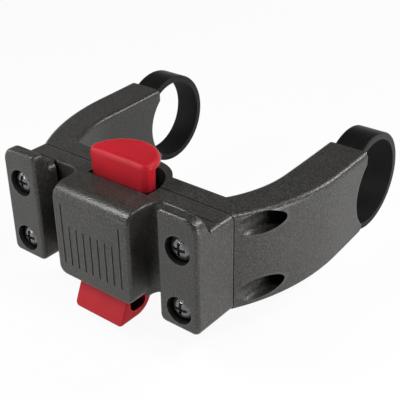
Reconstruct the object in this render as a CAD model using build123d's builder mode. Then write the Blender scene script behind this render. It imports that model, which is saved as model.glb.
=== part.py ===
"""Clip-on bag mount for a bicycle handlebar.

The origin is on the handlebar's axis, midway between the two clamps. X runs
along the bar, Y points back towards the rider and Z is up. A bag hangs on the
two flanges at the front, its rails run in the channels beside the centre box,
and the hook of the release latch holds its crossbar from below.
"""

import os

from build123d import *

# Modelling allowances
join = 1.0  # how far joined bodies run into each other
cut_over = 1.0  # how far a cut runs past the face it goes through
pick_tol = 0.1  # tolerance when edges are picked by their place

# Handlebar and clamp bands
bar_d = 31.8
bar_play = 0.1  # radial room between the bar and the clamp
band_t = 2.5
band_w = 11.0
clamp_x = 47.0  # middle of a clamp from the centre plane
band_edge_r = 0.5
band_fit = 0.2  # room round a band end in its slot
tighten_travel = 4.0  # how far a band end can be pulled into its arm

# Front housing
reach = 88.8  # bar axis to the flange faces
body_w = 85.2
housing_depth = 17.7  # flange faces to the seam with the yoke
top_z = 15.5
base_z = -20.1
flange_w = 15.8
flange_top_z = 21.0
lip_top_t = 4.2  # raised flange lip, front to back at its top
lip_base_t = 6.4  # at the level of the flange's top
lip_corner_r = 5.0
lip_inner_r = 2.0
foot_r = 2.4  # lower corners of the flanges
lip_edge_r = 1.4
lip_ridge_r = 1.2
channel_depth = 11.2
rail_groove_w = 1.6  # undercut behind a flange, up to the back of its channel
rail_groove_depth = 2.0
top_line_w = 0.4  # fine line across the top of a flange
top_line_depth = 0.35
box_w = 34.0
box_stand_out = 2.2  # box face ahead of the flange faces
box_base_z = -18.8
box_brow_r = 5.2
box_chin_r = 3.5
box_edge_r = 1.2
wall = 2.6
edge_r = 1.0
side_r = 2.2  # long rounded top edges
block_edge_r = 3.0
valley_depth = 1.2  # between a lip and the rounded front of its flange's top
valley_l = 2.6
cove_r = 4.4  # where the sides of the box run into the back plate
seam_gap = 0.5  # shadow line round the seam

# Grooves on the box face
long_groove_x = 13.0
groove_base_z = -13.3
long_groove_top_z = 9.4
short_groove_top_z = 1.8
short_groove_span = 19.4
short_groove_count = 7
groove_w = 0.7
groove_depth = 0.3

# Housing screws
screw_x = 34.9
screw_upper_z = 9.0
screw_lower_z = -13.0
screw_d = 4.8
screw_length = 20.0
screw_head_d = 8.6
screw_head_h = 2.9
screw_brim_h = 1.0
screw_tip_r = 1.4
screw_tip_h = 2.0
cross_l = 4.8
cross_w = 1.2
cross_depth = 1.7
screw_recess = 0.5  # screw head below the flange face
counterbore_d = 9.8
screw_play = 0.25
thread_play = 0.05

# Rear yoke
cross_t = 8.6
arm_outer_w = 8.2  # from the middle of a clamp to the arm's outer side
arm_inner_w = 7.6
arm_root_x = 32.7  # inner side of an arm where it leaves the crosspiece
arm_outer_straight = 28.8  # straight run of an arm, ahead of the bar axis
arm_inner_straight = 38.8
arm_lip_y = -9.8  # flat end faces of the arms
arm_rise = 1.3  # of an arm's top, from the crosspiece to its end
arm_mid_z = -17.9  # underside of the arm at half its length
arm_end_z = -15.0
arm_heel_r = 2.5
under_r = 1.2
inner_r = 1.8

# Button well
well_r = 13.2
well_back = 15.7  # centre of the well's round behind the flange faces
boss_r = 14.0
boss_back = 18.0
well_floor_z = 9.0
boss_base_z = -8.0
rib_w = 2.4
rib_pitch = 13.0

# Release latch
cap_r = 13.3
cap_back = 13.5  # centre of the cap's round behind the flange faces
cap_top_z = 25.3
cap_t = 2.9
cap_corner_r = 3.0
cap_edge_r = 2.2
cap_under_r = 0.6
shield_front = 11.8  # front of the button behind the flange faces
shield_t = 4.4
shield_w = 26.0  # under the cap
shoulder_w = 24.8  # at its lower end
shield_edge_r = 2.4
stem_front = 10.2
stem_t = 4.2
stem_w = 22.2
shoulder_z = 12.0
latch_travel = 6.5
latch_play = 0.3
guide_drop = 1.1  # stem guides below the shoulder's lowest place
ledge_w = 11.0
ledge_t = 4.0
hook_base_z = -30.5
hook_toe_front = -2.2  # foot of the hook's face behind the flange faces
hook_tip_front = 2.3
hook_tip_z = -20.3
hook_tip_t = 0.7
hook_floor_t = 3.7
hook_inner_r = 2.2
hook_heel_r = 8.0
hook_under_r = 1.8
hook_edge_r = 0.7

# Latch spring
spring_d = 8.4
spring_wire_d = 0.9
spring_turns = 8
spring_seat = 0.1  # room at each end of the spring
spring_peg_play = 0.4
spring_peg_h = 4.0

# Clamp screws and barrel nuts
key_bore_d = 7.8
key_bore_upper_z = 10.8  # at the front end of the bore
key_bore_lower_z = -14.4
lug_z = 10.0  # middle of a band end, above and below the bar axis
lug_h = 7.6
lug_front_y = -24.0
lug_back_y = -11.0
nut_y = -19.5
nut_d = 6.0
nut_play = 0.1
nut_length = 10.0
clamp_screw_d = 4.0
clamp_head_d = 7.0
clamp_head_h = 4.0
clamp_seat_y = -41.0  # where the screw head bears on the arm
clamp_screw_length = 24.5
key_w = 3.0
key_depth = 2.2

# Places worked out from the sizes above
bore_r = bar_d / 2 + bar_play
band_r = bore_r + band_t
flange_y = -reach
seam_y = flange_y + housing_depth
channel_y = flange_y + channel_depth
box_y = flange_y - box_stand_out
cross_y = seam_y + cross_t
side_x = body_w / 2
flange_x = side_x - flange_w
box_x = box_w / 2
cavity_x = box_x - wall
cavity_top_z = top_z - wall
cavity_base_z = box_base_z + wall
well_y = flange_y + well_back
boss_y = flange_y + boss_back
cap_y = flange_y + cap_back
shield_y = flange_y + shield_front
stem_y = flange_y + stem_front
stem_back_y = stem_y + stem_t
cap_base_z = cap_top_z - cap_t
ledge_top_z = cavity_top_z - latch_play
ledge_base_z = ledge_top_z - ledge_t
ledge_y = box_y + wall + latch_play
spring_y = (ledge_y + stem_y) / 2
spring_base_z = cavity_base_z + spring_seat
spring_top_z = ledge_base_z - spring_seat
peg_r = spring_d / 2 - spring_wire_d - spring_peg_play
screw_seat_y = flange_y + screw_recess + screw_head_h
screw_tip_y = screw_seat_y + screw_length
key_bore_y = seam_y
arm_outer_x = clamp_x + arm_outer_w
arm_inner_x = clamp_x - arm_inner_w
block_y = flange_y + 2 * edge_r
lip_slope = (lip_base_t - lip_top_t) / (flange_top_z - top_z)
lip_foot_z = top_z - block_edge_r
lip_foot_y = flange_y + lip_base_t + lip_slope * block_edge_r
valley_y = flange_y + lip_base_t + lip_slope * valley_depth
valley_z = top_z - valley_depth
crest_y = flange_y + lip_base_t + valley_l
guide_x = stem_w / 2 + latch_play
guide_top_z = shoulder_z - latch_travel - guide_drop
yoke_y = seam_y + seam_gap
arm_mid_y = (yoke_y + arm_lip_y) / 2
arm_top_z = top_z + arm_rise
rib_y = stem_back_y + latch_play
rib_base_z = cavity_base_z + latch_play
hook_floor_z = hook_base_z + hook_floor_t
hook_tip_y = flange_y + hook_tip_front
hook_tip_back_y = hook_tip_y + hook_tip_t
hook_toe_y = flange_y + hook_toe_front
lug_base_z = lug_z - lug_h / 2
key_bore_length = clamp_seat_y - seam_y + key_bore_d
sides = (-1, 1)

screw_places = []
for side in sides:
    for height in (screw_upper_z, screw_lower_z):
        screw_places.append((side * screw_x, height))


def across(y):
    """Plane across the mount at a depth, facing forward, with X and Z as its axes."""
    return Plane.XZ.offset(-y)


def clamp_axis(side, upper):
    """Plane at a clamp screw's seat, with its normal along the screw towards the bar."""
    start_z = key_bore_upper_z if upper else key_bore_lower_z
    end_z = lug_z if upper else -lug_z
    start = Vector(side * clamp_x, key_bore_y, start_z)
    run = Vector(side * clamp_x, nut_y, end_z) - start
    seat = start + run * ((clamp_seat_y - key_bore_y) / (nut_y - key_bore_y))
    return Plane(origin=seat, x_dir=(1, 0, 0), z_dir=run)


# Rounded bodies of the front housing: a flange with its lip, the back plate and the box
with BuildPart() as flange_block:
    with BuildSketch(Plane.XY.offset(base_z)):
        with Locations((side_x - flange_w / 2, (block_y + seam_y) / 2)):
            Rectangle(flange_w, seam_y - block_y)
    extrude(amount=top_z - base_z)
    outer_edges = flange_block.edges().filter_by(Axis.Y).group_by(Axis.X)[-1].sort_by(Axis.Z)
    fillet(outer_edges[-1], side_r)
    inner_edges = flange_block.edges().filter_by(Axis.Y).group_by(Axis.X)[0].sort_by(Axis.Z)
    fillet(inner_edges[-1], block_edge_r)
    fillet(flange_block.edges().filter_by(Axis.Y).group_by(Axis.Z)[0], foot_r)

with BuildPart() as flange_lip:
    with BuildSketch(across(flange_y)) as lip_front:
        with Locations((side_x - flange_w / 2, (flange_top_z + base_z) / 2)):
            Rectangle(flange_w, flange_top_z - base_z)
        fillet(lip_front.vertices().sort_by_distance((side_x, flange_top_z))[0], lip_corner_r)
        fillet(lip_front.vertices().sort_by_distance((flange_x, flange_top_z))[0], lip_inner_r)
        fillet(lip_front.vertices().group_by(Axis.Y)[0], foot_r)
    extrude(amount=flange_y - lip_foot_y)
    with BuildSketch(Plane.YZ):
        with BuildLine():
            Polyline(
                (flange_y, base_z),
                (flange_y, flange_top_z),
                (flange_y + lip_top_t, flange_top_z),
                (lip_foot_y, lip_foot_z),
                (lip_foot_y, base_z),
                close=True,
            )
        make_face()
    extrude(amount=side_x, mode=Mode.INTERSECT)
    fillet(flange_lip.faces().sort_by(Axis.Y)[0].outer_wire().edges(), lip_edge_r)
    lip_ridge = (side_x - flange_w / 2, flange_y + lip_top_t, flange_top_z)
    fillet(flange_lip.edges().filter_by(Axis.X).sort_by_distance(lip_ridge)[0], lip_ridge_r)

# The lip on its flange, with a valley between the lip's slope and the rounded front of the top
with BuildPart() as flange:
    add(flange_block.part)
    add(flange_lip.part)
    with BuildSketch(Plane.YZ.offset(flange_x)):
        with BuildLine():
            crest = (crest_y, top_z)
            TangentArc(crest, (valley_y, valley_z), tangent=(-1, 0))
            Polyline((valley_y, valley_z), (flange_y + lip_base_t, top_z), crest)
        make_face()
    extrude(amount=flange_w, mode=Mode.SUBTRACT)

with BuildPart() as back_plate:
    with BuildSketch(Plane.XY.offset(box_base_z)) as plate_plan:
        with Locations((0, (channel_y + seam_y) / 2)):
            Rectangle(2 * flange_x + flange_w, seam_y - channel_y)
        with Locations((0, channel_y)):
            Rectangle(box_w, cove_r + join, align=(Align.CENTER, Align.MAX))
        for side in sides:
            fillet(plate_plan.vertices().sort_by_distance((side * box_x, channel_y))[0], cove_r)
    extrude(amount=top_z - box_base_z)
    plate_top = back_plate.faces().sort_by(Axis.Z)[-1].edges()
    facing_forward = plate_top.filter_by(lambda e: e.center().Y < channel_y + pick_tol)
    fillet(facing_forward.filter_by(lambda e: abs(e.center().X) > box_x - pick_tol), box_edge_r)
    with BuildSketch(Plane.XY.offset(base_z)):
        with Locations((0, (channel_y + seam_y) / 2)):
            Rectangle(2 * flange_x + flange_w, seam_y - channel_y)
    extrude(amount=box_base_z - base_z)

with BuildPart() as centre_box:
    with BuildSketch(across(seam_y)) as box_front:
        with Locations((0, (top_z + box_base_z) / 2)):
            Rectangle(box_w, top_z - box_base_z)
        fillet(box_front.vertices().group_by(Axis.Y)[0], box_chin_r)
    extrude(amount=housing_depth + box_stand_out)
    front_edges = centre_box.edges().filter_by(Axis.X).group_by(Axis.Y)[0].sort_by(Axis.Z)
    fillet(front_edges[-1], box_brow_r)
    # Its rim runs round the face and back along both sides of the top
    face_rim = centre_box.faces().sort_by(Axis.Y)[0].edges().filter_by(lambda e: e.center().Z < 0)
    fillet(face_rim, box_edge_r)

with BuildPart() as front_housing:
    add(back_plate.part)
    add(centre_box.part)
    add(flange.part)
    add(flange.part.mirror(Plane.YZ))
    # Room for the latch and its spring, open at the seam
    with BuildSketch(across(seam_y)):
        with Locations((0, (cavity_top_z + cavity_base_z) / 2)):
            RectangleRounded(2 * cavity_x, cavity_top_z - cavity_base_z, edge_r)
    extrude(amount=housing_depth + box_stand_out - wall, mode=Mode.SUBTRACT)
    # Opening for the button, running into the well behind the seam
    with BuildSketch(Plane.XY.offset(cavity_top_z - cut_over)):
        with Locations((0, shield_y - latch_play)):
            opening_l = seam_y - shield_y + latch_play
            Rectangle(shield_w + 2 * latch_play, opening_l, align=(Align.CENTER, Align.MIN))
    extrude(amount=wall + 2 * cut_over, mode=Mode.SUBTRACT)
    # Way out for the stem below
    with BuildSketch(Plane.XY.offset(base_z)):
        with Locations((0, (stem_y - latch_play + seam_y) / 2)):
            Rectangle(stem_w + 2 * latch_play, seam_y - stem_y + latch_play)
    extrude(amount=cavity_base_z - base_z + cut_over, mode=Mode.SUBTRACT)
    # Guides at both sides of the stem
    with BuildSketch(Plane.XY.offset(cavity_base_z)):
        guide_w = cavity_x + join - guide_x
        for side in sides:
            with Locations((side * (guide_x + guide_w / 2), (stem_y + seam_y) / 2)):
                Rectangle(guide_w, seam_y - stem_y)
    extrude(amount=guide_top_z - cavity_base_z)
    # Peg that the spring stands on
    with BuildSketch(Plane.XY.offset(cavity_base_z)):
        with Locations((0, spring_y)):
            Circle(peg_r)
    extrude(amount=spring_peg_h)
    # Undercuts behind the flanges for the bag's rails
    with BuildSketch(Plane.XY.offset(base_z)):
        for side in sides:
            with Locations((side * flange_x, channel_y - rail_groove_w / 2)):
                Rectangle(2 * rail_groove_depth, rail_groove_w)
    extrude(amount=top_z - base_z, mode=Mode.SUBTRACT)
    # Fine lines across the tops of the flanges, from the undercuts outwards
    with BuildSketch(Plane.XY.offset(top_z)):
        line_l = flange_w - side_r
        line_x = flange_x + line_l / 2
        with Locations((line_x, channel_y - top_line_w / 2), (-line_x, channel_y - top_line_w / 2)):
            Rectangle(line_l, top_line_w)
    extrude(amount=-top_line_depth, mode=Mode.SUBTRACT)
    # Screw holes, counterbored from the flange faces
    with Locations(across(flange_y)):
        with Locations(*screw_places):
            CounterBoreHole(
                screw_d / 2 + screw_play,
                counterbore_d / 2,
                screw_seat_y - flange_y,
                depth=housing_depth,
            )
    # Grip grooves on the box face
    with BuildSketch(across(box_y)):
        long_h = long_groove_top_z - groove_base_z
        short_h = short_groove_top_z - groove_base_z
        with Locations((0, groove_base_z + long_h / 2)):
            with GridLocations(2 * long_groove_x, 0, 2, 1):
                Rectangle(groove_w, long_h)
        short_pitch = short_groove_span / (short_groove_count - 1)
        with Locations((0, groove_base_z + short_h / 2)):
            with GridLocations(short_pitch, 0, short_groove_count, 1):
                Rectangle(groove_w, short_h)
    extrude(amount=-groove_depth, mode=Mode.SUBTRACT)

# Right arm of the yoke: its plan, then the curves of its underside and its top
with BuildPart() as arm:
    with BuildSketch(Plane.XY.offset(base_z)):
        with BuildLine():
            outer_start = (arm_outer_x, -arm_outer_straight)
            inner_start = (arm_inner_x, -arm_inner_straight)
            TangentArc(outer_start, (side_x, yoke_y), tangent=(0, -1))
            inner = TangentArc(inner_start, (arm_root_x, cross_y), tangent=(0, -1))
            root = Line(inner @ 1, (inner @ 1) + (inner % 1) * cross_t / 2)
            Polyline(inner_start, (arm_inner_x, arm_lip_y), (arm_outer_x, arm_lip_y), outer_start)
            Polyline(root @ 1, ((root @ 1).X, yoke_y), (side_x, yoke_y))
        make_face()
    extrude(amount=arm_top_z - base_z)
    with BuildSketch(Plane.YZ) as arm_side:
        with BuildLine():
            under = ThreePointArc((yoke_y, base_z), (arm_mid_y, arm_mid_z), (arm_lip_y, arm_end_z))
            over = TangentArc((cross_y, top_z), (arm_lip_y, arm_top_z), tangent=(1, 0))
            Line(under @ 1, over @ 1)
            Polyline(over @ 0, (yoke_y, top_z), under @ 0)
        make_face()
        fillet(arm_side.vertices().sort_by_distance((arm_lip_y, arm_end_z))[0], arm_heel_r)
    extrude(amount=arm_outer_x, mode=Mode.INTERSECT)
    long_edges = arm.edges().filter_by(lambda e: cross_y < e.center().Y < arm_lip_y - edge_r)
    long_edges = long_edges.filter_by(Axis.X, reverse=True)
    upper_edges = long_edges.filter_by(lambda e: e.center().Z > top_z - pick_tol)
    lower_edges = long_edges.filter_by(lambda e: e.center().Z < arm_end_z + edge_r)
    fillet(upper_edges.filter_by(lambda e: e.center().X > clamp_x), side_r)
    fillet(upper_edges.filter_by(lambda e: e.center().X < clamp_x), inner_r)
    fillet(lower_edges, under_r)


def band_slot(level):
    """Slot for a band end, seen along the bar: the band's round and the end's block."""
    with BuildSketch(Plane.YZ) as slot:
        Circle(band_r + band_fit)
        with Locations((0, level * (lug_base_z - band_fit + band_r))):
            Rectangle(reach, 2 * band_r, mode=Mode.INTERSECT)
        with Locations((lug_front_y - tighten_travel, level * lug_z)):
            block_l = lug_back_y - lug_front_y + tighten_travel
            Rectangle(block_l, lug_h + 2 * band_fit, align=(Align.MIN, Align.CENTER))
    return slot


with BuildPart() as rear_yoke:
    # Crosspiece, with a narrow shadow line at the seam
    with BuildSketch(across(cross_y)):
        with Locations((0, (top_z + base_z) / 2)):
            Rectangle(body_w - flange_w, top_z - base_z)
    extrude(amount=cross_y - yoke_y)
    fillet(rear_yoke.edges().filter_by(Axis.X).group_by(Axis.Y)[-1], edge_r)
    with BuildSketch(across(yoke_y)):
        with Locations((0, (top_z + base_z) / 2)):
            RectangleRounded(body_w - 2 * seam_gap, top_z - base_z - 2 * seam_gap, side_r)
    extrude(amount=seam_gap)
    add(arm.part)
    add(arm.part.mirror(Plane.YZ))
    # Boss round the button well
    with BuildSketch(Plane.XY.offset(boss_base_z)):
        with Locations((0, boss_y)):
            Circle(boss_r)
        with Locations((0, yoke_y)):
            Rectangle(body_w, body_w, align=(Align.CENTER, Align.MIN), mode=Mode.INTERSECT)
    extrude(amount=top_z - boss_base_z)
    with BuildSketch(Plane.XY.offset(well_floor_z)):
        with Locations((0, well_y)):
            Circle(well_r)
    extrude(amount=top_z - well_floor_z + cut_over, mode=Mode.SUBTRACT)
    # Ribs that steady the back of the stem, and a tongue that closes its opening behind it
    with BuildSketch(Plane.XY.offset(rib_base_z)):
        with Locations((0, (rib_y + yoke_y) / 2)):
            with GridLocations(rib_pitch, 0, 2, 1):
                Rectangle(rib_w, yoke_y - rib_y)
    extrude(amount=guide_top_z - rib_base_z)
    with BuildSketch(Plane.XY.offset(box_base_z)):
        with Locations((0, (rib_y + yoke_y) / 2)):
            Rectangle(stem_w, yoke_y - rib_y)
    extrude(amount=rib_base_z - box_base_z)
    # Cradle for the bar and slots for the band ends
    with BuildSketch(Plane.YZ):
        Circle(bore_r)
    extrude(amount=arm_outer_x + cut_over, both=True, mode=Mode.SUBTRACT)
    for side in sides:
        slot_plane = Plane.YZ.offset(side * clamp_x - band_w / 2 - band_fit)
        for level in (-1, 1):
            with BuildSketch(slot_plane):
                add(band_slot(level).sketch_local)
            extrude(amount=band_w + 2 * band_fit, mode=Mode.SUBTRACT)
    # Bores for the clamp screws, with room for a key from the front
    for side in sides:
        for upper in (True, False):
            seat = clamp_axis(side, upper)
            with BuildSketch(seat):
                Circle(key_bore_d / 2)
            extrude(amount=-key_bore_length, mode=Mode.SUBTRACT)
            with BuildSketch(seat):
                Circle(clamp_screw_d / 2 + screw_play)
            extrude(amount=lug_front_y - clamp_seat_y, mode=Mode.SUBTRACT)
    # Holes for the housing screws
    with BuildSketch(across(seam_y)):
        with Locations(*screw_places):
            Circle(screw_d / 2 + thread_play)
    extrude(amount=-(screw_tip_y - seam_y + thread_play), mode=Mode.SUBTRACT)

# Clamp band seen along the bar: a ring, open at the cradle, with a block at each end
with BuildSketch(Plane.YZ) as band_shape:
    Circle(band_r)
    with Locations((-band_r, 0)):
        Rectangle(2 * band_r, 2 * lug_base_z, mode=Mode.SUBTRACT)
    for level in (lug_z, -lug_z):
        with Locations((lug_front_y, level)):
            Rectangle(lug_back_y - lug_front_y, lug_h, align=(Align.MIN, Align.CENTER))
    Circle(bore_r, mode=Mode.SUBTRACT)


def clamp_band(side):
    """One strap, with the holes for its barrel nuts and clamp screws."""
    with BuildPart() as band:
        with BuildSketch(Plane.YZ.offset(side * clamp_x - band_w / 2)):
            add(band_shape.sketch_local)
        extrude(amount=band_w)
        with BuildSketch(Plane.YZ.offset(side * clamp_x - band_w / 2)):
            with Locations((nut_y, lug_z), (nut_y, -lug_z)):
                Circle(nut_d / 2 + nut_play)
        extrude(amount=band_w, mode=Mode.SUBTRACT)
        for upper in (True, False):
            with BuildSketch(clamp_axis(side, upper)):
                Circle(clamp_screw_d / 2 + screw_play)
            extrude(amount=clamp_screw_length + screw_play, mode=Mode.SUBTRACT)
        rims = band.edges().filter_by(GeomType.CIRCLE)
        fillet(rims.filter_by(lambda e: e.radius > bore_r + pick_tol), band_edge_r)
    return band


def barrel_nuts(side):
    """The two cross nuts of a clamp, each a short bar with a threaded hole through it."""
    with BuildPart() as nuts:
        with BuildSketch(Plane.YZ.offset(side * clamp_x - nut_length / 2)):
            with Locations((nut_y, lug_z), (nut_y, -lug_z)):
                Circle(nut_d / 2)
        extrude(amount=nut_length)
        for upper in (True, False):
            with BuildSketch(clamp_axis(side, upper)):
                Circle(clamp_screw_d / 2 + thread_play)
            extrude(amount=clamp_screw_length + nut_d, mode=Mode.SUBTRACT)
    return nuts


def clamp_screws(side):
    """The two socket-head screws of a clamp."""
    with BuildPart() as screws:
        for upper in (True, False):
            seat = clamp_axis(side, upper)
            with BuildSketch(seat):
                Circle(clamp_screw_d / 2)
            extrude(amount=clamp_screw_length)
            with BuildSketch(seat):
                Circle(clamp_head_d / 2)
            extrude(amount=-clamp_head_h)
            with BuildSketch(seat.offset(-clamp_head_h)):
                RegularPolygon(key_w / 2, 6, major_radius=False)
            extrude(amount=key_depth, mode=Mode.SUBTRACT)
    return screws


left_clamp_band = clamp_band(-1)
right_clamp_band = clamp_band(1)
left_barrel_nuts = barrel_nuts(-1)
right_barrel_nuts = barrel_nuts(1)
left_clamp_screws = clamp_screws(-1)
right_clamp_screws = clamp_screws(1)

# One pan-head screw, standing on its seat with the head up, then all four
with BuildPart() as pan_screw:
    with BuildSketch(Plane.XZ):
        with BuildLine():
            rim = (screw_head_d / 2, 0)
            brim = (screw_head_d / 2, screw_brim_h)
            crown = (0, screw_head_h)
            TangentArc(crown, brim, tangent=(1, 0))
            Polyline(
                crown,
                (0, -screw_length),
                (screw_tip_r, -screw_length),
                (screw_d / 2, -screw_length + screw_tip_h),
                (screw_d / 2, 0),
                rim,
                brim,
            )
        make_face()
    revolve(axis=Axis.Z)
    with BuildSketch(Plane.XY.offset(screw_head_h)):
        Rectangle(cross_l, cross_w)
        Rectangle(cross_w, cross_l)
    extrude(amount=-cross_depth, mode=Mode.SUBTRACT)

with BuildPart() as housing_screws:
    with Locations(across(screw_seat_y)):
        with Locations(*screw_places):
            add(pan_screw.part)

# Release latch: cap, shield, stem and hook in one moulding
with BuildPart() as latch_cap:
    with BuildSketch(Plane.XY.offset(cap_base_z)) as cap_plan:
        with Locations((0, cap_y)):
            Circle(cap_r)
        with Locations((0, shield_y)):
            Rectangle(body_w, body_w, align=(Align.CENTER, Align.MIN), mode=Mode.INTERSECT)
        fillet(cap_plan.vertices().group_by(Axis.Y)[0], cap_corner_r)
    extrude(amount=cap_t)
    fillet(latch_cap.faces().sort_by(Axis.Z)[-1].edges(), cap_edge_r)
    fillet(latch_cap.faces().sort_by(Axis.Z)[0].edges(), cap_under_r)

with BuildPart() as latch_shield:
    with BuildSketch(across(shield_y)):
        with BuildLine():
            Polyline(
                (-shield_w / 2, cap_base_z + join),
                (shield_w / 2, cap_base_z + join),
                (shoulder_w / 2, shoulder_z),
                (-shoulder_w / 2, shoulder_z),
                close=True,
            )
        make_face()
    extrude(amount=-shield_t)
    front_edges = latch_shield.faces().sort_by(Axis.Y)[0].edges()
    fillet(front_edges.filter_by(Axis.X, reverse=True), shield_edge_r)

with BuildPart() as latch_hook:
    with BuildSketch(Plane.YZ.offset(-stem_w / 2)) as hook_side:
        with BuildLine():
            Polyline(
                (stem_y, ledge_top_z),
                (stem_y, hook_floor_z),
                (hook_tip_back_y, hook_floor_z),
                (hook_tip_back_y, hook_tip_z),
                (hook_tip_y, hook_tip_z),
                (hook_toe_y, hook_base_z),
                (stem_back_y, hook_base_z),
                (stem_back_y, ledge_top_z),
                close=True,
            )
        make_face()
        corners = hook_side.vertices()
        tip_floor_corner = corners.sort_by_distance((hook_tip_back_y, hook_floor_z))[0]
        stem_floor_corner = corners.sort_by_distance((stem_y, hook_floor_z))[0]
        fillet([tip_floor_corner, stem_floor_corner], hook_inner_r)
        heel_corner = hook_side.vertices().sort_by_distance((stem_back_y, hook_base_z))[0]
        fillet(heel_corner, hook_heel_r)
    extrude(amount=stem_w)
    on_sides = latch_hook.edges().filter_by(lambda e: abs(e.center().X) > stem_w / 2 - pick_tol)
    under_edges = on_sides.filter_by(Axis.Y).filter_by(lambda e: e.center().Z < hook_base_z + pick_tol)
    fillet(under_edges, hook_under_r)
    hook_face = latch_hook.faces().sort_by(Axis.Y)[0]
    fillet(hook_face.edges().filter_by(lambda e: e.center().Z < hook_tip_z - pick_tol), hook_edge_r)

with BuildPart() as release_latch:
    add(latch_cap.part)
    add(latch_shield.part)
    add(latch_hook.part)
    # Ledge over the spring, which also stops the latch under the housing's top
    with BuildSketch(Plane.XY.offset(ledge_base_z)):
        with Locations((0, ledge_y)):
            Rectangle(ledge_w, stem_y - ledge_y + join, align=(Align.CENTER, Align.MIN))
    extrude(amount=ledge_t)
    with BuildSketch(Plane.XY.offset(ledge_base_z)):
        with Locations((0, spring_y)):
            Circle(peg_r)
    extrude(amount=-spring_peg_h)

# Return spring, standing on its peg under the latch's ledge
with BuildPart() as latch_spring:
    coil_r = (spring_d - spring_wire_d) / 2
    coil_h = spring_top_z - spring_base_z - spring_wire_d
    coil_base = (0, spring_y, spring_base_z + spring_wire_d / 2)
    with BuildLine():
        coil = Helix(coil_h / spring_turns, coil_h, coil_r, coil_base)
    with BuildSketch(Plane(origin=coil @ 0, z_dir=coil % 0)):
        Circle(spring_wire_d / 2)
    sweep()

pieces = {
    "front_housing": front_housing,
    "rear_yoke": rear_yoke,
    "left_clamp_band": left_clamp_band,
    "right_clamp_band": right_clamp_band,
    "left_clamp_screws": left_clamp_screws,
    "right_clamp_screws": right_clamp_screws,
    "left_barrel_nuts": left_barrel_nuts,
    "right_barrel_nuts": right_barrel_nuts,
    "housing_screws": housing_screws,
    "release_latch": release_latch,
    "latch_spring": latch_spring,
}
os.makedirs("parts", exist_ok=True)
for name, piece in pieces.items():
    piece.part.label = name
    export_step(piece.part, f"parts/{name}.step")
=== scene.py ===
"""Looks of the clip-on handlebar bag mount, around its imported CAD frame.

Everything is in metres, in the frame's own axes: X along the handlebar, Y back
towards the rider, Z up, with the origin on the bar's axis between the clamps.
"""

import math

import bmesh
import bpy
from mathutils import Matrix, Vector


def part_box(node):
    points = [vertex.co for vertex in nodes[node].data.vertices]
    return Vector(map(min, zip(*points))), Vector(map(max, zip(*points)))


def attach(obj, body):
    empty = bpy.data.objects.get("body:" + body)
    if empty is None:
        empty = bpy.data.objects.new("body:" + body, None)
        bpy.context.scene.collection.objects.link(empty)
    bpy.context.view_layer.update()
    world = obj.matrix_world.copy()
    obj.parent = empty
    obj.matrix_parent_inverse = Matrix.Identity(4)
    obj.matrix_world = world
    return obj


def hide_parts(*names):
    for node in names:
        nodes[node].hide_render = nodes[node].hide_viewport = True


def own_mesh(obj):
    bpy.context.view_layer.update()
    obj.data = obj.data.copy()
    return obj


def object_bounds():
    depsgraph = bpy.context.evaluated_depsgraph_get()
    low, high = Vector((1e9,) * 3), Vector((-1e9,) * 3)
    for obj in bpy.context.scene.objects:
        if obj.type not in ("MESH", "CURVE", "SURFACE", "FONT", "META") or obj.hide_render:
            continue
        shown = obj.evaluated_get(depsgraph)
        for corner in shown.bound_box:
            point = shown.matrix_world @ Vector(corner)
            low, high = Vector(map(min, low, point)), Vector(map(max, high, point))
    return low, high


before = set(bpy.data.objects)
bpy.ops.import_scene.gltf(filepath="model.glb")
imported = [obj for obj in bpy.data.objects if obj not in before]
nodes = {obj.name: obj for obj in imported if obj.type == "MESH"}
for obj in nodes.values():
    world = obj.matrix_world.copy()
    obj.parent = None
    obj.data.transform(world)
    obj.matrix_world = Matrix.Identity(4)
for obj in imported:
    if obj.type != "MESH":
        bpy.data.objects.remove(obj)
cad_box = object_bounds()

# Camera, at the photograph's angle
CAMERA_PLACE = (0.1686, -0.2432, 0.1419)
CAMERA_AZIMUTH = math.radians(38.92)
CAMERA_ELEVATION = math.radians(29.53)
CAMERA_ROLL = math.radians(-0.81)
CAMERA_LENS = 73.94
CAMERA_SENSOR = 36.0
CAMERA_NEAR = 0.01  # nothing nearer than this is drawn

# Stage
FLOOR_DROP = 0.004  # floor below the lowest point of the mount
FLOOR_SIZE = 6.0
FLOOR_COLOUR = (0.9, 0.9, 0.9)
FLOOR_ROUGHNESS = 0.9
SEEN_SHARE = 0.93  # how much of the floor's look is plain background, for the camera
MIRRORED_SHARE = 0.72  # and in reflections
HORIZON_GLOW = 0.6
CEILING_GLOW = 0.1
HORIZON_TOP = 0.1  # sines of the elevations between which the studio darkens
CEILING_BASE = 0.4
LAMP_TARGET = Vector((0, -0.045, 0))
LAMP_DISTANCE = 1.0
NEAR_LAMP_DISTANCE = 0.22

# Grip grooves, and the light painted into them
FACE_Y = cad_box[0].y  # the face of the centre box is the foremost place
GROOVE_DEPTH = 0.0003
GROOVE_LIGHT_START = 0.1 * GROOVE_DEPTH  # depths below the face
GROOVE_LIGHT_FULL = 0.4 * GROOVE_DEPTH
GROOVE_LIGHT_END = 1.1 * GROOVE_DEPTH
GROOVE_LIGHT_FADE = 1.01  # the painted light is gone at this many times each of its limits
GROOVE_LIGHT_SHARE = 0.8
GROOVES_Z = -0.002  # middle of the grooved patch
GROOVES_HALF_W = 0.0145  # how far the patch reaches to each side
GROOVES_HALF_H = 0.012  # and up and down

# Return spring
SPRING_NODE = "latch_spring"
SPRING_WIRE = 0.0009
SPRING_TURNS = 8
CLOSED_TURNS = 1.25  # flat turns at each end
SPRING_STEPS = 28  # points per turn
WIRE_SIDES = 12

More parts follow.
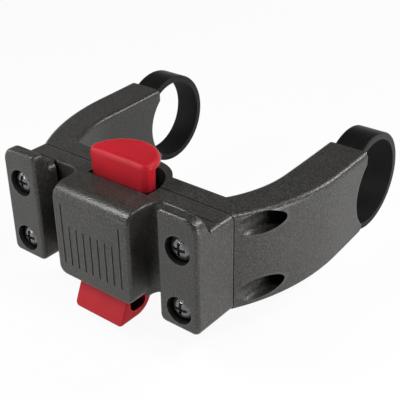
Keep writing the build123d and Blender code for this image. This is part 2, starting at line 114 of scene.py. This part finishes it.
# Colours of the finishes, with the darker and the paler shade where they vary
BLACK_SHADES = ((0.015, 0.0146, 0.013), (0.021, 0.0204, 0.018))
BLACK_SPECKLE = (0.064, 0.061, 0.053)
# Paler edges, partly rubbed and partly a painted highlight
BLACK_RUBBED_HIGHLIGHT = (0.11, 0.108, 0.102)
# Painted shade for gaps and bores
BLACK_PAINTED_SHADE = (0.0015, 0.0015, 0.0015)
# Painted light for the grip grooves, paler than the shade in them
GROOVE_PAINTED_LIGHT = (0.07, 0.068, 0.064)
SATIN_SHADES = ((0.005, 0.005, 0.0052), (0.008, 0.008, 0.0078))
SATIN_RUBBED = (0.06, 0.06, 0.06)
RED_SHADES = ((0.44, 0.006, 0.015), (0.51, 0.009, 0.021))
RED_RUBBED = (0.55, 0.06, 0.07)
# Painted shade for the latch's gaps
RED_PAINTED_SHADE = (0.03, 0.002, 0.003)
SCREW_SHADES = ((0.12, 0.12, 0.122), (0.2, 0.2, 0.2))
SCREW_RUBBED = (0.42, 0.42, 0.42)
ZINC_SHADES = ((0.5, 0.51, 0.52), (0.66, 0.67, 0.69))
SPRING_SHADES = ((0.4, 0.4, 0.4), (0.56, 0.56, 0.55))

# Spans that values are remapped from and to
UNIT = (0.0, 1.0)
FALLING = (1.0, 0.0)
NOISE_SPAN = (0.3, 0.7)  # nearly all of a noise lies here
CORE_SPAN = (0.35, 0.65)  # its middle, for a stronger contrast
SPECKLE_SPAN = (0.47, 0.62)
SPOTS_SPAN = (0.35, 0.7)
SCUFF_SPAN = (0.3, 0.6)
RUBBED_TURN = (0.02, 0.25)  # 1 less the cosine between the plain and the bevelled normal
ROUNDED_NORMAL = (0.8, 0.93)  # largest part of a normal along an axis, on rounds and on faces
PLATING_SPREAD = 0.08  # of roughness, to each side

# Shader nodes
BEVEL_SAMPLES = 6
SHADE_SAMPLES = 8
MIX_FIRST = 6  # numbers of a mix node's colour sockets
MIX_SECOND = 7
MIX_RESULT = 2


def set_inputs(tree, node, inputs):
    """Links inputs of a node to sockets, or sets them to numbers, colours or vectors."""
    for name, value in inputs.items():
        if isinstance(value, bpy.types.NodeSocket):
            tree.links.new(value, node.inputs[name])
        else:
            node.inputs[name].default_value = value


def node_of(tree, kind, inputs=None, **properties):
    """Adds a shader node with its properties, and with inputs by name or number."""
    node = tree.nodes.new(kind)
    for name, value in properties.items():
        setattr(node, name, value)
    set_inputs(tree, node, inputs or {})
    return node


def new_material(name):
    """A material with a Principled BSDF. Gives the material, its tree and the shader."""
    material = bpy.data.materials.new(name)
    material.use_nodes = True
    tree = material.node_tree
    return material, tree, tree.nodes["Principled BSDF"]


def new_object(name, data):
    """An object in the scene."""
    made = bpy.data.objects.new(name, data)
    bpy.context.scene.collection.objects.link(made)
    return made


def own_place(tree):
    """The shaded point in the frame's own coordinates."""
    return node_of(tree, "ShaderNodeTexCoord").outputs["Object"]


def surface(tree, output):
    """What the geometry node says of the shaded point."""
    return node_of(tree, "ShaderNodeNewGeometry").outputs[output]


def noise(tree, scale, detail=2.0, roughness=0.5, squeeze=None):
    """A noise texture in the frame's own coordinates, squeezed along the axes."""
    place = own_place(tree)
    if squeeze:
        mapping = node_of(tree, "ShaderNodeMapping", {"Vector": place, "Scale": squeeze})
        place = mapping.outputs["Vector"]
    inputs = {"Vector": place, "Scale": scale, "Detail": detail, "Roughness": roughness}
    return node_of(tree, "ShaderNodeTexNoise", inputs).outputs["Fac"]


def cells(tree, scale, smoothness):
    """Rounded grains, as a spark-eroded mould leaves them."""
    inputs = {"Vector": own_place(tree), "Scale": scale, "Smoothness": smoothness}
    return node_of(tree, "ShaderNodeTexVoronoi", inputs, feature="SMOOTH_F1").outputs["Distance"]


def remap(tree, value, span, to=UNIT):
    """Value within one span, moved to the same place in another and held at its ends."""
    inputs = {"Value": value, "From Min": span[0], "From Max": span[1], "To Min": to[0], "To Max": to[1]}
    return node_of(tree, "ShaderNodeMapRange", inputs).outputs["Result"]


def maths(tree, operation, first, second=0.0):
    """A sum with one or two values, each a socket or a number."""
    return node_of(tree, "ShaderNodeMath", {0: first, 1: second}, operation=operation).outputs["Value"]


def eased(tree, value, share):
    """A share of a value."""
    return maths(tree, "MULTIPLY", value, share)


def mix_colours(tree, share, first, second):
    """Colour between first and second, each a socket or a colour."""
    inputs = {"Factor": share}
    for number, colour in ((MIX_FIRST, first), (MIX_SECOND, second)):
        inputs[number] = (*colour, 1.0) if isinstance(colour, tuple) else colour
    return node_of(tree, "ShaderNodeMix", inputs, data_type="RGBA").outputs[MIX_RESULT]


def mix_shaders(tree, share, first, second):
    """Shader between first and second."""
    return node_of(tree, "ShaderNodeMixShader", {"Fac": share, 1: first, 2: second}).outputs["Shader"]


def edge_mask(tree, radius):
    """Rises to 1 along sharp edges, which hands and bags rub, and where the grained plastic also gets a
    painted highlight.
    """
    bevel = node_of(tree, "ShaderNodeBevel", {"Radius": radius}, samples=BEVEL_SAMPLES)
    normals = {0: bevel.outputs["Normal"], 1: surface(tree, "Normal")}
    dot = node_of(tree, "ShaderNodeVectorMath", normals, operation="DOT_PRODUCT")
    return remap(tree, maths(tree, "SUBTRACT", 1.0, dot.outputs["Value"]), RUBBED_TURN)


def rounded_mask(tree):
    """Rises to 1 on the rounded edges of a moulding, whose normals lie between the axes."""
    normal = {0: surface(tree, "Normal")}
    parts = node_of(tree, "ShaderNodeVectorMath", normal, operation="ABSOLUTE").outputs["Vector"]
    split = node_of(tree, "ShaderNodeSeparateXYZ", {"Vector": parts})
    most = maths(tree, "MAXIMUM", split.outputs["X"], split.outputs["Y"])
    most = maths(tree, "MAXIMUM", most, split.outputs["Z"])
    return remap(tree, most, ROUNDED_NORMAL, FALLING)


def crevice_mask(tree, distance, span):
    """Falls towards 0 in narrow gaps and deep bores, which little light reaches."""
    node = node_of(tree, "ShaderNodeAmbientOcclusion", {"Distance": distance}, samples=SHADE_SAMPLES)
    return remap(tree, node.outputs["AO"], span)


def groove_mask(tree):
    """Rises to 1 in the grip grooves of the box face."""
    split = node_of(tree, "ShaderNodeSeparateXYZ", {"Vector": own_place(tree)})
    sunk = maths(tree, "SUBTRACT", split.outputs["Y"], FACE_Y)
    beside = maths(tree, "ABSOLUTE", split.outputs["X"])
    above = maths(tree, "ABSOLUTE", maths(tree, "SUBTRACT", split.outputs["Z"], GROOVES_Z))
    mask = remap(tree, sunk, (GROOVE_LIGHT_START, GROOVE_LIGHT_FULL))
    for distance, limit in ((sunk, GROOVE_LIGHT_END), (beside, GROOVES_HALF_W), (above, GROOVES_HALF_H)):
        within = remap(tree, distance, (limit, GROOVE_LIGHT_FADE * limit), FALLING)
        mask = maths(tree, "MULTIPLY", mask, within)
    return mask


def bumped(tree, height, strength, distance):
    """A normal that follows a height."""
    inputs = {"Height": height, "Strength": strength, "Distance": distance}
    return node_of(tree, "ShaderNodeBump", inputs).outputs["Normal"]


def grained_plastic():
    """Charcoal nylon with a moulded grain, a little polished along its edges, with paler rubbed edges
    that are partly a painted highlight, painted shade in its gaps and painted light in its grip grooves.
    """
    material, tree, shader = new_material("grained_black_plastic")
    grain = cells(tree, scale=1900.0, smoothness=0.6)
    fine = noise(tree, scale=1700.0, detail=4.0, roughness=0.7)
    cloud = noise(tree, scale=70.0, detail=3.0, roughness=0.55)
    patchy = remap(tree, cloud, CORE_SPAN, to=(0.5, 1.0))
    edge_share = maths(tree, "MULTIPLY", edge_mask(tree, radius=0.0015), patchy)
    base = mix_colours(tree, remap(tree, cloud, NOISE_SPAN), *BLACK_SHADES)
    speckled = mix_colours(tree, remap(tree, fine, SPECKLE_SPAN), base, BLACK_SPECKLE)
    # Paler edges: partly rubbed, and partly a painted highlight
    pale_edged = mix_colours(tree, eased(tree, edge_share, share=0.5), speckled, BLACK_RUBBED_HIGHLIGHT)
    # Painted shade: the colour darkens in gaps and bores, where shade falls
    clear = crevice_mask(tree, distance=0.008, span=(0.2, 0.62))
    shaded = mix_colours(tree, clear, BLACK_PAINTED_SHADE, pale_edged)
    # Painted light: the grip grooves are painted paler against the shade in them
    groove_light = eased(tree, groove_mask(tree), GROOVE_LIGHT_SHARE)
    rough = remap(tree, fine, NOISE_SPAN, to=(0.36, 0.46))
    rubbed_smooth = eased(tree, edge_share, share=0.16)
    rounded_smooth = eased(tree, rounded_mask(tree), share=0.1)
    polish = maths(tree, "MAXIMUM", rubbed_smooth, rounded_smooth)
    height = maths(tree, "ADD", grain, eased(tree, fine, share=0.5))
    set_inputs(tree, shader, {
        "Base Color": mix_colours(tree, groove_light, shaded, GROOVE_PAINTED_LIGHT),
        "Roughness": maths(tree, "SUBTRACT", rough, polish),
        "Normal": bumped(tree, height, strength=0.42, distance=0.00012),
    })
    return material


def satin_plastic():
    """The bands' smoother black nylon, with faint flow lines round the ring."""
    material, tree, shader = new_material("satin_black_plastic")
    flow = noise(tree, scale=160.0, detail=4.0, roughness=0.6, squeeze=(5.0, 0.6, 0.6))
    fine = noise(tree, scale=4200.0)
    edge_share = edge_mask(tree, radius=0.0004)
    base = mix_colours(tree, remap(tree, flow, CORE_SPAN), *SATIN_SHADES)
    # Duller inside the ring than outside
    inside = maths(tree, "SUBTRACT", 1.0, crevice_mask(tree, distance=0.04, span=(0.6, 0.95)))
    rough = remap(tree, flow, NOISE_SPAN, to=(0.36, 0.44))
    height = maths(tree, "ADD", fine, eased(tree, flow, share=0.6))
    set_inputs(tree, shader, {
        "Base Color": mix_colours(tree, eased(tree, edge_share, share=0.4), base, SATIN_RUBBED),
        "Roughness": maths(tree, "ADD", rough, eased(tree, inside, share=0.5)),
        "Normal": bumped(tree, height, strength=0.12, distance=0.0001),
        "Specular IOR Level": 0.2,
    })
    return material


def red_plastic():
    """The latch's red acetal, satin, with a fine grain, paler rubbed edges and painted shade in its
    gaps.
    """
    material, tree, shader = new_material("red_latch_plastic")
    fine = noise(tree, scale=3600.0, detail=3.0, roughness=0.6)
    cloud = noise(tree, scale=90.0, detail=3.0)
    patchy = remap(tree, cloud, NOISE_SPAN, to=(0.3, 1.0))
    edge_share = maths(tree, "MULTIPLY", edge_mask(tree, radius=0.0007), patchy)
    base = mix_colours(tree, remap(tree, cloud, NOISE_SPAN), *RED_SHADES)
    pale_edged = mix_colours(tree, eased(tree, edge_share, share=0.35), base, RED_RUBBED)
    # Painted shade: the red darkens in gaps and under the housing, where shade falls
    clear = crevice_mask(tree, distance=0.012, span=(0.3, 0.7))
    set_inputs(tree, shader, {
        "Base Color": mix_colours(tree, clear, RED_PAINTED_SHADE, pale_edged),
        "Roughness": remap(tree, fine, NOISE_SPAN, to=(0.4, 0.5)),
        "Normal": bumped(tree, fine, strength=0.12, distance=0.0001),
        "Specular IOR Level": 0.22,
    })
    return material


def blackened_steel():
    """Dark screw heads, rubbed bright round the driver's recess."""
    material, tree, shader = new_material("blackened_steel")
    spots = noise(tree, scale=900.0, detail=4.0, roughness=0.65)
    fine = noise(tree, scale=5000.0)
    patchy = remap(tree, spots, SCUFF_SPAN, to=(0.4, 1.0))
    edge_share = maths(tree, "MULTIPLY", edge_mask(tree, radius=0.0003), patchy)
    base = mix_colours(tree, remap(tree, spots, SPOTS_SPAN), *SCREW_SHADES)
    set_inputs(tree, shader, {
        "Base Color": mix_colours(tree, edge_share, base, SCREW_RUBBED),
        "Roughness": remap(tree, spots, NOISE_SPAN, to=(0.24, 0.36)),
        "Normal": bumped(tree, fine, strength=0.1, distance=0.00005),
        "Metallic": 0.85,
    })
    return material


def plated_steel(name, shades, roughness):
    """Bright steel with the mottle of its plating and drawn marks."""
    material, tree, shader = new_material(name)
    mottle = noise(tree, scale=500.0, detail=4.0, roughness=0.6)
    drawn = noise(tree, scale=700.0, detail=3.0, squeeze=(1.0, 0.1, 6.0))
    rough_span = (roughness - PLATING_SPREAD, roughness + PLATING_SPREAD)
    set_inputs(tree, shader, {
        "Base Color": mix_colours(tree, remap(tree, mottle, NOISE_SPAN), *shades),
        "Roughness": remap(tree, drawn, NOISE_SPAN, to=rough_span),
        "Normal": bumped(tree, drawn, strength=0.15, distance=0.00005),
        "Metallic": 1.0,
    })
    return material


def helix_points(low, high, centre, radius):
    """Centreline of a compression spring with closed ends, from its lower end up."""
    rise = high - low
    points = []
    steps = SPRING_TURNS * SPRING_STEPS
    flat = CLOSED_TURNS / SPRING_TURNS
    closed = SPRING_WIRE * CLOSED_TURNS
    for step in range(steps + 1):
        along = step / steps
        # The end turns lie a wire's width apart, and the rest are spread evenly
        if along < flat:
            climb = SPRING_WIRE * along * SPRING_TURNS
        elif along > 1 - flat:
            climb = rise - SPRING_WIRE * (1 - along) * SPRING_TURNS
        else:
            share = (along - flat) / (1 - 2 * flat)
            climb = closed + (rise - 2 * closed) * share
        turn = along * SPRING_TURNS * math.tau
        x = centre.x + radius * math.cos(turn)
        y = centre.y + radius * math.sin(turn)
        points.append(Vector((x, y, low + climb)))
    return points


def wire_mesh(points, centre, wire_r):
    """A closed round wire along the points of a helix about an upright axis."""
    mesh = bmesh.new()
    rings = []
    for index, point in enumerate(points):
        before = points[max(index - 1, 0)]
        after = points[min(index + 1, len(points) - 1)]
        along = (after - before).normalized()
        outward = Vector((point.x - centre.x, point.y - centre.y, 0)).normalized()
        upward = along.cross(outward).normalized()
        ring = []
        for side in range(WIRE_SIDES):
            angle = math.tau * side / WIRE_SIDES
            spoke = outward * math.cos(angle) + upward * math.sin(angle)
            ring.append(mesh.verts.new(point + wire_r * spoke))
        rings.append(ring)
    for first, second in zip(rings, rings[1:]):
        for side in range(WIRE_SIDES):
            beside = (side + 1) % WIRE_SIDES
            mesh.faces.new((first[side], first[beside], second[beside], second[side]))
    mesh.faces.new(reversed(rings[0]))
    mesh.faces.new(rings[-1])
    bmesh.ops.recalc_face_normals(mesh, faces=mesh.faces)
    # Only the two ends have more than four corners, and they stay flat
    for face in mesh.faces:
        face.smooth = len(face.verts) == 4
    return mesh


def mesh_object(name, mesh):
    """An object of a finished mesh."""
    data = bpy.data.meshes.new(name)
    mesh.to_mesh(data)
    mesh.free()
    return new_object(name, data)


def make_spring():
    """The return spring as drawn wire, in the space of its CAD node."""
    low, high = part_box(SPRING_NODE)
    centre = (low + high) / 2
    wire_r = SPRING_WIRE / 2
    radius = (high.x - low.x) / 2 - wire_r
    points = helix_points(low.z + wire_r, high.z - wire_r, centre, radius)
    piece = mesh_object("return_spring", wire_mesh(points, centre, wire_r))
    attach(piece, "frame")
    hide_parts(SPRING_NODE)
    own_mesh(piece)
    return piece


def paint(piece, material):
    """Gives a piece one material."""
    piece.data.materials.clear()
    piece.data.materials.append(material)


def make_camera():
    """The photograph's camera."""
    back = Vector((
        math.sin(CAMERA_AZIMUTH) * math.cos(CAMERA_ELEVATION),
        -math.cos(CAMERA_AZIMUTH) * math.cos(CAMERA_ELEVATION),
        math.sin(CAMERA_ELEVATION),
    ))
    right = Vector((math.cos(CAMERA_AZIMUTH), math.sin(CAMERA_AZIMUTH), 0))
    up = back.cross(right)
    turned_right = right * math.cos(CAMERA_ROLL) + up * math.sin(CAMERA_ROLL)
    turned_up = up * math.cos(CAMERA_ROLL) - right * math.sin(CAMERA_ROLL)
    data = bpy.data.cameras.new("camera")
    data.lens = CAMERA_LENS
    data.sensor_width = CAMERA_SENSOR
    data.clip_start = CAMERA_NEAR
    camera = new_object("camera", data)
    turn = Matrix((turned_right, turned_up, back)).transposed().to_4x4()
    camera.matrix_world = Matrix.Translation(CAMERA_PLACE) @ turn
    bpy.context.scene.camera = camera


def softbox(name, direction, size, level, distance=LAMP_DISTANCE):
    """A square area lamp facing the mount, at a level where 1 shows white as white."""
    data = bpy.data.lights.new(name, "AREA")
    data.size = size
    data.energy = level * (math.pi * distance) ** 2
    lamp = new_object(name, data)
    outward = Vector(direction).normalized()
    lamp.location = LAMP_TARGET + outward * distance
    lamp.rotation_euler = outward.to_track_quat("Z", "Y").to_euler()


def floor_material():
    """Pale, and mostly plain background for the camera and in reflections."""
    material, tree, shader = new_material("floor")
    set_inputs(tree, shader, {
        "Base Color": (*FLOOR_COLOUR, 1.0),
        "Roughness": FLOOR_ROUGHNESS,
        "Specular IOR Level": 0.0,
    })
    glow = node_of(tree, "ShaderNodeEmission", {"Strength": 1.0}).outputs["Emission"]
    path = node_of(tree, "ShaderNodeLightPath")
    mirrored = maths(tree, "MAXIMUM", path.outputs["Is Glossy Ray"], path.outputs["Is Transmission Ray"])
    mirrored = eased(tree, mirrored, MIRRORED_SHARE)
    seen = eased(tree, path.outputs["Is Camera Ray"], SEEN_SHARE)
    plain = maths(tree, "MAXIMUM", seen, mirrored)
    from_above = mix_shaders(tree, plain, shader.outputs["BSDF"], glow)
    # Clear from below, so that the underside can be looked at
    clear = node_of(tree, "ShaderNodeBsdfTransparent").outputs["BSDF"]
    both = mix_shaders(tree, surface(tree, "Backfacing"), from_above, clear)
    set_inputs(tree, tree.nodes["Material Output"], {"Surface": both})
    return material


def make_floor():
    """A pale floor that keeps a soft shadow."""
    mesh = bmesh.new()
    bmesh.ops.create_grid(mesh, x_segments=1, y_segments=1, size=FLOOR_SIZE / 2)
    floor = mesh_object("floor", mesh)
    floor.location.z = cad_box[0].z - FLOOR_DROP
    paint(floor, floor_material())


def make_world():
    """A studio that is white at the horizon and darkens towards its ceiling."""
    world = bpy.data.worlds.new("studio")
    bpy.context.scene.world = world
    world.use_nodes = True
    tree = world.node_tree
    direction = node_of(tree, "ShaderNodeTexCoord").outputs["Generated"]
    height = node_of(tree, "ShaderNodeSeparateXYZ", {"Vector": direction}).outputs["Z"]
    set_inputs(tree, tree.nodes["Background"], {
        "Color": (1, 1, 1, 1),
        "Strength": remap(tree, height, (HORIZON_TOP, CEILING_BASE), (HORIZON_GLOW, CEILING_GLOW)),
    })


def make_lights():
    """Soft lamps low on both sides, high in front, on the right and behind, and a small low one."""
    softbox("right_lamp", (0.98, 0.02, 0.12), size=0.09, level=0.44, distance=NEAR_LAMP_DISTANCE)
    softbox("left_lamp", (-0.86, -0.45, 0.24), size=0.3, level=0.18)
    softbox("front_lamp", (-0.42, -0.6, 0.68), size=0.06, level=0.48, distance=NEAR_LAMP_DISTANCE)
    softbox("high_lamp", (0.58, 0.03, 0.81), size=0.2, level=0.32)
    softbox("back_lamp", (0.5, 0.66, 0.56), size=0.25, level=0.36)
    softbox("glint_lamp", (-0.41, -0.9, 0.1), size=0.08, level=0.1)


black = grained_plastic()
satin = satin_plastic()
red = red_plastic()
screw_steel = blackened_steel()
zinc_steel = plated_steel("zinc_plated_steel", ZINC_SHADES, roughness=0.34)
spring_steel = plated_steel("drawn_spring_steel", SPRING_SHADES, roughness=0.28)
finishes = {
    "front_housing": black,
    "rear_yoke": black,
    "left_clamp_band": satin,
    "right_clamp_band": satin,
    "left_clamp_screws": zinc_steel,
    "right_clamp_screws": zinc_steel,
    "left_barrel_nuts": zinc_steel,
    "right_barrel_nuts": zinc_steel,
    "housing_screws": screw_steel,
    "release_latch": red,
}
for name, material in finishes.items():
    paint(nodes[name], material)
paint(make_spring(), spring_steel)

make_camera()
make_floor()
make_world()
make_lights()
bpy.context.scene.view_settings.view_transform = "Standard"
